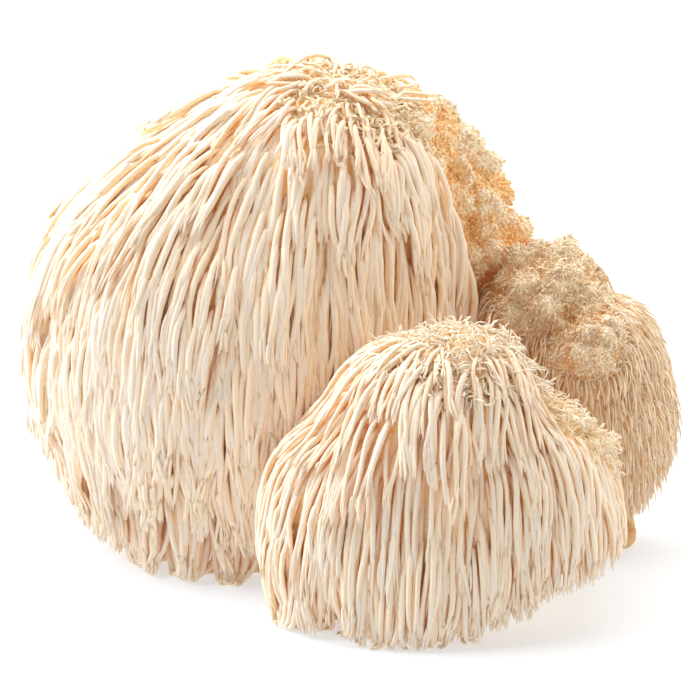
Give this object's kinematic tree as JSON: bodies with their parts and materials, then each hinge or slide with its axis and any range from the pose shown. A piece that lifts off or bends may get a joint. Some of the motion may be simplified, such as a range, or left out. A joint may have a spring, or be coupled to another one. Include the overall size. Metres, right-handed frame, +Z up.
{
  "type": "lion's mane mushroom",
  "caption": "Cluster of joined lion's mane heads: lumpy cream balls covered with long hanging pointed spines, with craggy bare flesh on their crowns and flanks, resting on flat cut bases.",
  "frame": {"origin": "middle of the cluster's footprint box, on the surface that it rests on", "axes": "+Z up; +X towards the right head, along the longest side of the cluster; +Y from the front head back towards the large head"},
  "size_m": [0.2346, 0.1861, 0.171],
  "materials": {
    "large_head_flesh": "soft matt cream spines, orange brown deep between them, craggy tan flesh on one flank",
    "front_head_flesh": "soft matt cream spines with tan tips",
    "right_head_flesh": "matt tan craggy lumps and fine cream spines"
  },
  "bodies": {
    "root": {"large_head": "large_head_flesh", "front_head": "front_head_flesh", "right_head": "right_head_flesh"}
  },
  "joints": []
}
